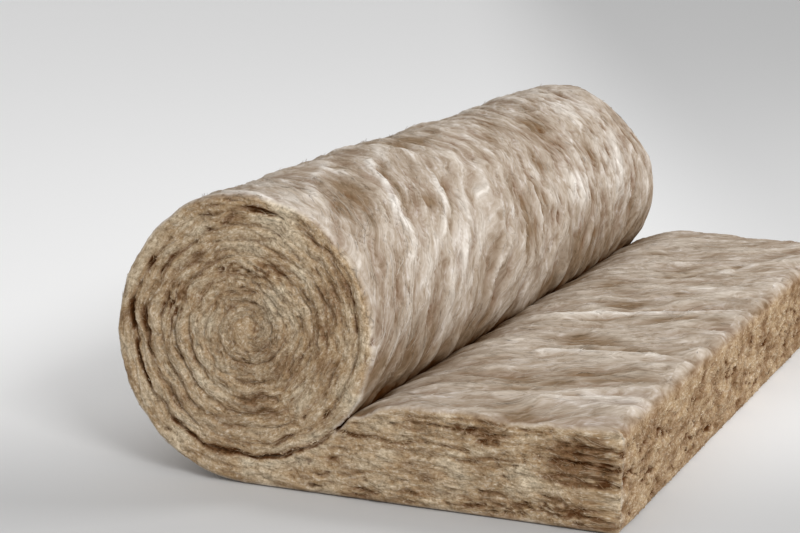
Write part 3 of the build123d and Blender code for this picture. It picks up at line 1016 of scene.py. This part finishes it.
# The wool's patterns: the size of one patch in mm, how far it is drawn out along the wool,
# layers of detail, roughness between them, twist, and a place of its own. A single fibre
# is some 0.006 mm thick, too fine to show, so hairs and specks are drawn as coarse as
# strands and crumbs of many fibres.
WOOL_PATTERNS = {
    "silk": (11.0, 2.1, 4.0, 0.56, 1.4, 1.3),       # combed tufts on the faces
    "hairs": (2.6, 6.0, 3.0, 0.60, 0.9, 4.1),       # single strands on the faces
    "matted": (21.0, 1.4, 4.0, 0.62, 1.5, 8.2),     # felted clumps
    "sheets": (3.4, 4.5, 4.0, 0.62, 0.9, 7.7),      # torn sheets at the cuts
    "crumbs": (3.4, 1.4, 4.0, 0.62, 0.5, 5.9),      # broken fibre ends at the cuts
    "specks": (1.6, 1.6, 2.0, 0.50, 0.0, 9.4),      # pale crumbs and dark pinholes
}

# How much each pattern counts, and the colours from its hollows to its crests: silky
# fibres in combed and felted tufts on the faces, and crumbly sheets at the cuts
FACE_PATTERNS = (("hairs", 0.05), ("silk", 0.40), ("matted", 0.55))
FACE_COLOURS = ((0.34, "#917e69"), (0.44, "#a99988"), (0.54, "#baad9f"), (0.66, "#d6cec7"))
CUT_PATTERNS = (("sheets", 0.32), ("crumbs", 0.48), ("specks", 0.20))
CUT_COLOURS = ((0.34, "#795f42"), (0.43, "#a28663"), (0.53, "#baa182"), (0.64, "#e0d2bd"))
GRAIN_SHADES = ((0.38, "#9c9c9c"), (0.50, "#e0e0e0"), (0.60, "#ffffff"))

# Tints by tone or hollowness: which, where it starts, where it is full and how strong it
# is there; its colour on the faces and at the cuts. Those by hollowness are painted shade
# and painted highlight; those by tone are partly the binder's own colour and partly painted
# shade and highlight.
WOOL_TINTS = (
    ("tone", -0.05, -1.5, 0.82, "#82684a", "#866240"),      # more binder, and painted shade
    ("tone", 0.05, 1.5, 0.75, "#f8f2ea", "#eeddc0"),        # less binder, and painted highlight
    ("hollow", -0.10, -2.0, 0.90, "#734b24", "#6f4a2f"),    # shade in the hollows
    ("hollow", 0.15, 2.2, 0.60, "#faf1e3", "#f0e0c6"),      # painted highlight on crests
    ("hollow", -1.00, -2.3, 0.95, "#532e10", "#5b3719"),    # painted deep shade in seams and nip
)
WOOL_BUMP_HEIGHT = 4.0


def glass_wool():
    """Glass wool bound with a brown natural binder: matt and fibrous, paler on the faces
    where the fibres lie flat, browner and crumbly where it is cut."""
    material = bpy.data.materials.new("glass_wool_brown_binder")
    material.use_nodes = True
    tree = material.node_tree
    tree.nodes.clear()
    place = node(tree, "ShaderNodeAttribute", {"attribute_name": "lay"}).node.outputs["Vector"]
    mark = {
        name: node(tree, "ShaderNodeAttribute", {"attribute_name": name}).node.outputs["Fac"]
        for name in ("hollow", "cut", "tone")
    }
    pattern = {}
    for name, (size, drawn_out, detail, roughness, twist, own) in WOOL_PATTERNS.items():
        per_metre = 1 / (size * MM)
        scaled = node(tree, "ShaderNodeMapping", Vector=place,
                      Scale=(per_metre / drawn_out, per_metre, per_metre),
                      Location=(own, own * 1.7, own * 0.3))
        pattern[name] = node(tree, "ShaderNodeTexNoise", Vector=scaled, Scale=1.0, Detail=detail,
                             Roughness=roughness, Distortion=twist)

    mixed, coloured = [], []
    for shares, stops in ((FACE_PATTERNS, FACE_COLOURS), (CUT_PATTERNS, CUT_COLOURS)):
        mix = 0.0
        for name, share in shares:
            mix = node(tree, "ShaderNodeMath", {"operation": "MULTIPLY_ADD"},
                       Value=pattern[name], Value2=share, Value3=mix)
        mixed.append(mix)
        coloured.append(node(tree, "ShaderNodeValToRGB", {"stops": stops}, Fac=mix))

    # The tints keep the fibres' grain, a little less of it on the faces.
    grain = node(tree, "ShaderNodeMix", {"data_type": "FLOAT"}, Factor=mark["cut"],
                 A=mixed[0], B=mixed[1])
    grain = node(tree, "ShaderNodeValToRGB", {"stops": GRAIN_SHADES}, Fac=grain)
    grain_share = node(tree, "ShaderNodeMapRange", Value=mark["cut"], To_Min=0.6)
    base = node(tree, "ShaderNodeMix", {"data_type": "RGBA"}, Factor=mark["cut"],
                A=coloured[0], B=coloured[1])
    for name, start, full, most, on_face, on_cut in WOOL_TINTS:
        share = node(tree, "ShaderNodeMapRange", Value=mark[name], From_Min=start,
                     From_Max=full, To_Max=most)
        tint = node(tree, "ShaderNodeMix", {"data_type": "RGBA"}, Factor=mark["cut"],
                    A=on_face, B=on_cut)
        tint = node(tree, "ShaderNodeMix", {"data_type": "RGBA", "blend_type": "MULTIPLY"},
                    Factor=grain_share, A=tint, B=grain)
        base = node(tree, "ShaderNodeMix", {"data_type": "RGBA"}, Factor=share, A=base, B=tint)

    # The fibres' own relief
    on_faces = node(tree, "ShaderNodeMath", {"operation": "MULTIPLY_ADD"},
                    Value=pattern["hairs"], Value2=0.12, Value3=pattern["silk"])
    at_cuts = node(tree, "ShaderNodeMath", {"operation": "ADD"},
                   Value=pattern["crumbs"], Value2=pattern["sheets"])
    height = node(tree, "ShaderNodeMix", {"data_type": "FLOAT"}, Factor=mark["cut"],
                  A=on_faces, B=at_cuts)
    raised = node(tree, "ShaderNodeBump", Strength=0.36, Distance=WOOL_BUMP_HEIGHT * MM,
                  Height=height)
    surface = node(tree, "ShaderNodeBsdfPrincipled", Base_Color=base, Normal=raised,
                   Roughness=0.92, IOR=1.5, Specular_IOR_Level=0.02)
    node(tree, "ShaderNodeOutputMaterial", Surface=surface)
    return material


def pale_floor():
    """Matt studio paper with painted light: darker in front of the mat, palest behind it, a little
    darker to its right.
    """
    material = bpy.data.materials.new("pale_floor")
    material.use_nodes = True
    tree = material.node_tree
    tree.nodes.clear()
    ground = node(tree, "ShaderNodeTexCoord").node.outputs["Object"]
    base = "#c4c4c4"
    # Painted light: grey in front of the mat, near white behind it, and painted shade to its right,
    # where the lamps light the floor most.
    for way, start, full, blend, tint in (
        ((-0.37, 0.93, 0.0), -0.75, -0.15, "MIX", "#f9f9f9"),
        ((0.93, 0.37, 0.0), 0.15, 0.80, "MULTIPLY", "#dcdcdc"),
    ):
        onward = node(tree, "ShaderNodeVectorMath", {"operation": "DOT_PRODUCT"}, Vector=ground,
                      Vector2=way).node.outputs["Value"]
        share = node(tree, "ShaderNodeMapRange", {"interpolation_type": "SMOOTHSTEP"},
                     Value=onward, From_Min=start, From_Max=full)
        base = node(tree, "ShaderNodeMix", {"data_type": "RGBA", "blend_type": blend},
                    Factor=share, A=base, B=tint)
    surface = node(tree, "ShaderNodeBsdfPrincipled", Base_Color=base, Roughness=0.9)
    node(tree, "ShaderNodeOutputMaterial", Surface=surface)
    return material


# The pieces

def on_show(data, material):
    """Puts a mesh in the scene, in its finish, riding on the part."""
    piece = bpy.data.objects.new(data.name, data)
    bpy.context.scene.collection.objects.link(piece)
    data.materials.append(material)
    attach(piece, "root")
    return piece


def wool_mat(material):
    """The whole mat as one closed mesh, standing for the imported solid."""
    mesh = Mesh()
    near_rim = cut_side(mesh, -1)
    far_rim = cut_side(mesh, 1)
    faces_between(mesh, near_rim, far_rim)
    piece = on_show(finished_mesh(mesh, "glass_wool"), material)
    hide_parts("glass_wool_mat")


def combed_way(run, y):
    """The way in which the fibres lie on the mat's faces, as steps in run and y."""
    across = [skin_lay(run + a, y + b)[..., 1] for a, b in ((1, 0), (-1, 0), (0, 1), (0, -1))]
    by_run, by_y = across[0] - across[1], across[2] - across[3]
    size = np.hypot(by_run, by_y) + 1e-9
    return -by_y / size, by_run / size


def skin_strands(rng, count, rings, runs, ys, lengths, loose, fray=0.0):
    """Lines of loose strands that lie on the mat's faces, the way its fibres do, some with
    one end standing off."""
    run, y = rng.uniform(*runs, count), rng.uniform(*ys, count)
    step = rng.uniform(*lengths, count) / (rings - 1)
    off, curl = rng.normal(0, loose, count), rng.normal(0, loose * 0.18, count)
    line = []
    for k in range(rings):
        line.append((run, y))
        way_run, way_y = combed_way(run, y)
        turned = off + curl * k
        ahead = way_run * np.cos(turned) - way_y * np.sin(turned)
        aside = way_run * np.sin(turned) + way_y * np.cos(turned)
        run, y = run + step * ahead, y + step * aside
    run, y = (np.stack(v, 1) for v in zip(*line))
    stays = (run.min(1) > runs[0] - 6) & (run.max(1) < runs[1] + 6) & (np.abs(y).max(1) < RIM_Y)
    run, y, count = run[stays].ravel(), y[stays].ravel(), int(stays.sum())
    bow = np.sin(np.linspace(0, math.pi, rings))
    off_face = rng.uniform(0.4, 1.0, count)[:, None] * np.linspace(0, 1, rings) ** 2 * fray
    lift = (-0.3 + rng.uniform(0.3, 0.9, count)[:, None] * bow + off_face).ravel()
    points, hollow, tone, out = on_skin(run, y, lift)
    marks = dict(hollow=hollow, cut=np.zeros(len(run)), tone=tone, lay=skin_lay(run, y))
    return points.reshape(count, rings, 3), out.reshape(count, rings, 3), marks


def cut_strands(rng, side, count, rings, where, lengths, loose, frays=0.0, rise=0.9):
    """Lines of loose strands on a cut side. where gives the side's points, the range of
    places along it, and how far one mm goes there along it and across it."""
    place, low, high, per_mm = where
    at, share = rng.uniform(low, high, count), rng.uniform(0.05, 0.95, count)
    reach = np.linspace(-0.5, 0.5, rings)
    length, angle = rng.uniform(*lengths, count), rng.normal(0, loose, count)
    along_mm = (length * np.cos(angle))[:, None] * reach
    across_mm = (length * np.sin(angle))[:, None] * reach
    across_mm = across_mm + (length * rng.normal(0, 0.35, count))[:, None] * (reach**2 - 0.12)
    at_mm, share_mm = per_mm(at)
    at = np.clip(at[:, None] + at_mm[:, None] * along_mm, low, high)
    share = np.clip(share[:, None] + share_mm[:, None] * across_mm, 0.02, 0.98)
    fray = (rng.random(count) < frays) * rng.uniform(1.5, 4.0, count)
    lift = rng.uniform(-0.3, rise, count)[:, None] - 2.0 * np.abs(reach)
    lift = lift + fray[:, None] * (reach + 0.5) ** 1.5
    points, marks = place(at.ravel(), share.ravel(), side, lift.ravel())
    out = np.broadcast_to([0.0, side, 0.0], (count, rings, 3))
    return points.reshape(count, rings, 3), out, marks


def wound_per_mm(theta):
    """One mm on the roll's turns, as winding angle and as share of the thickness."""
    radius = WOUND_RADIUS - TURN_PITCH * (theta - AT_NIP) / FULL_TURN
    between = outer_face(theta + FULL_TURN)[0] - outer_face(theta)[0]
    thick = np.linalg.norm(between, axis=1)
    return 1 / np.clip(radius, 14, LOOSE_RADIUS), 1 / np.maximum(thick, 12)


def tail_per_mm(outward):
    """One mm on the free end's side, as way out and as share of the thickness."""
    flat = np.ones(len(outward))
    return flat / (TAIL_END - NIP[0]), flat / TAIL_THICKNESS


ON_TURNS = (wound_side, TAIL_ROOT + 0.05, AT_EYE - FULL_TURN - 0.1, wound_per_mm)
ON_TAIL = (tail_side, 0.02, 0.995, tail_per_mm)


def strands(name, sets, rng, material):
    """Loose strands as one piece: each a closed three-sided tube, thin at both ends."""
    points, faces, normals, count = [], [], [], 0
    marks = {key: [] for key in ("hollow", "cut", "tone", "lay")}
    for thickness, (lines, out, line_marks) in sets:
        n, rings, _ = lines.shape
        ahead = np.gradient(lines, axis=1)
        ahead /= np.linalg.norm(ahead, axis=2, keepdims=True) + 1e-9
        aside = np.cross(ahead, out)
        aside /= np.linalg.norm(aside, axis=2, keepdims=True) + 1e-9
        up = np.cross(aside, ahead)
        thin = np.interp(np.linspace(0, 1, rings), [0, 0.3, 0.7, 1], [0.3, 1, 1, 0.3])
        radius = rng.uniform(*thickness, n)[:, None] / 2 * thin
        turn = np.radians([90, 210, 330])
        ring = aside[:, :, None] * np.cos(turn)[:, None] + up[:, :, None] * np.sin(turn)[:, None]
        points.append((lines[:, :, None] + ring * radius[:, :, None, None]).reshape(-1, 3))

        # A strand takes the light much as the wool that it lies on does.
        facing = 0.8 * out[:, :, None] + 0.45 * ring
        facing /= np.linalg.norm(facing, axis=3, keepdims=True)
        normals.append(facing.reshape(-1, 3))

        first = count + np.arange(n)[:, None, None] * rings * 3 + np.arange(rings - 1)[:, None] * 3
        a, b = first + np.arange(3), first + (np.arange(3) + 1) % 3
        faces += np.stack([a, a + 3, b + 3, b], -1).reshape(-1, 4).tolist()
        start = count + np.arange(n)[:, None] * rings * 3
        faces += (start + [0, 1, 2]).tolist() + (start + (rings - 1) * 3 + [2, 1, 0]).tolist()
        count += n * rings * 3

        # Most strands are paler than the wool under them, each by an amount of its own, through the
        # tint that paints highlights on crests; they keep 0.4 of the painted shade and highlight of
        # the wool under them.
        tint = np.repeat(np.clip(rng.normal(0.6, 0.3, n), -0.2, 1.5), rings * 3)
        for key in marks:
            value = np.repeat(line_marks[key], 3, axis=0)
            marks[key].append(value * 0.4 + tint if key == "hollow" else value)
    data = wool_mesh(name, np.vstack(points), faces, marks)
    data.normals_split_custom_set_from_vertices(np.vstack(normals).tolist())
    add_lay(data, np.vstack(marks["lay"]), "POINT")
    on_show(data, material)


def loose_strands(material):
    """Strands and crumbs that stand off the mat's faces and its cut sides."""
    rng = np.random.default_rng(7)

    # Their thickness; and for each lot the count, the rings along a strand, the place, the
    # lengths, how far they stray from the wool's own way, and how much they fray
    thin, fine, crumb = (0.5, 0.8), (0.7, 1.2), (1.6, 3.0)
    for name, side, much in (("near_side_strands", -1, 1.0), ("far_side_strands", 1, 0.6)):
        strands(name, [
            (fine, cut_strands(rng, side, int(3800 * much), 4, ON_TURNS, (7, 20), 0.30, 0.15)),
            (crumb, cut_strands(rng, side, int(2600 * much), 3, ON_TURNS, (3, 7), 0.6, 0.0, 0.4)),
            (fine, cut_strands(rng, side, int(1500 * much), 4, ON_TAIL, (8, 26), 0.30, 0.15)),
            (crumb, cut_strands(rng, side, int(1300 * much), 3, ON_TAIL, (3, 7), 0.6, 0.0, 0.4)),
        ], rng, material)

    across, near_end = (-RIM_Y, RIM_Y), (-RIM_Y, -440)
    roll, over_crest = (50, ROLL_ROUND - 70), (90, CREST_ROUND + 330)
    strands("roll_strands", [
        (thin, skin_strands(rng, 1700, 6, roll, across, (15, 60), 0.25)),
        (fine, skin_strands(rng, 300, 9, (60, CREST_ROUND + 260), near_end, (60, 150), 0.15)),
        (thin, skin_strands(rng, 800, 4, over_crest, across, (6, 13), 0.5, 4.0)),
    ], rng, material)

    cut_end = (FOOT_ROUND + 10, TOP_ROUND - 24)
    top, top_edge = (TOP_ROUND + 12, WHOLE_ROUND - 60), (TOP_ROUND - 8, WHOLE_ROUND - 90)
    on_end = [
        (fine, skin_strands(rng, 1500, 4, cut_end, across, (6, 20), 0.3)),
        (crumb, skin_strands(rng, 1500, 3, cut_end, across, (3, 7), 0.8)),
    ]
    for _, (_, _, marks_there) in on_end:
        marks_there["cut"][:] = 1.0
    strands("free_end_strands", [
        (thin, skin_strands(rng, 1200, 6, top, across, (15, 60), 0.25)),
        (thin, skin_strands(rng, 400, 4, top_edge, across, (6, 12), 0.6, 3.0)),
        *on_end,
    ], rng, material)


# The studio

# The camera at the photograph's angle: its place in metres; how far it is turned to the
# left, tipped down and leaned over, in radians; and its focal length in the image's pixels
CAMERA_PLACE = (1.0903, -2.8782, 0.7859)
CAMERA_TURN, CAMERA_TIP, CAMERA_LEAN = 0.3769, 0.2033, 0.0187
FOCAL_PIXELS = 2226.6
IMAGE_WIDTH = 800
SENSOR_WIDTH = 36.0

# The floor's half width in metres, and the strength of the light from all round
FLOOR_REACH = 12.0
DAYLIGHT = 0.66


def studio():
    """Floor, soft lights and the camera."""
    scene = bpy.context.scene
    far = FLOOR_REACH
    data = bpy.data.meshes.new("floor")
    data.from_pydata([(-far, -far, 0), (far, -far, 0), (far, far, 0), (-far, far, 0)], [],
                     [(0, 1, 2, 3)])
    data.materials.append(pale_floor())
    floor = bpy.data.objects.new("floor", data)
    scene.collection.objects.link(floor)

    scene.world = bpy.data.worlds.new("studio")
    scene.world.use_nodes = True
    light = scene.world.node_tree.nodes["Background"]
    light.inputs["Color"].default_value = colour("#ffffff")
    light.inputs["Strength"].default_value = DAYLIGHT

    for name, place, aim, size, watts in (
        ("right_back", (3.0, 1.3, 2.4), (0.2, 0.0, 0.15), 1.0, 57),
        ("right_front", (2.4, -2.7, 2.2), (0.1, -0.3, 0.15), 1.2, 59),
    ):
        data = bpy.data.lights.new(name, "AREA")
        data.shape, data.size, data.energy = "SQUARE", size, watts
        lamp = bpy.data.objects.new(name, data)
        scene.collection.objects.link(lamp)
        lamp.location = place
        lamp.rotation_euler = (Vector(aim) - Vector(place)).to_track_quat("-Z", "Y").to_euler()

    data = bpy.data.cameras.new("camera")
    data.sensor_width = SENSOR_WIDTH
    data.lens = FOCAL_PIXELS / IMAGE_WIDTH * SENSOR_WIDTH
    data.clip_end = 50.0
    camera = bpy.data.objects.new("camera", data)
    scene.collection.objects.link(camera)
    camera.matrix_world = (
        Matrix.Translation(CAMERA_PLACE) @ Matrix.Rotation(CAMERA_TURN, 4, "Z")
        @ Matrix.Rotation(math.pi / 2 - CAMERA_TIP, 4, "X") @ Matrix.Rotation(CAMERA_LEAN, 4, "Z")
    )
    scene.camera = camera
    scene.view_settings.view_transform = "Standard"


studio()
wool = glass_wool()
wool_mat(wool)
loose_strands(wool)
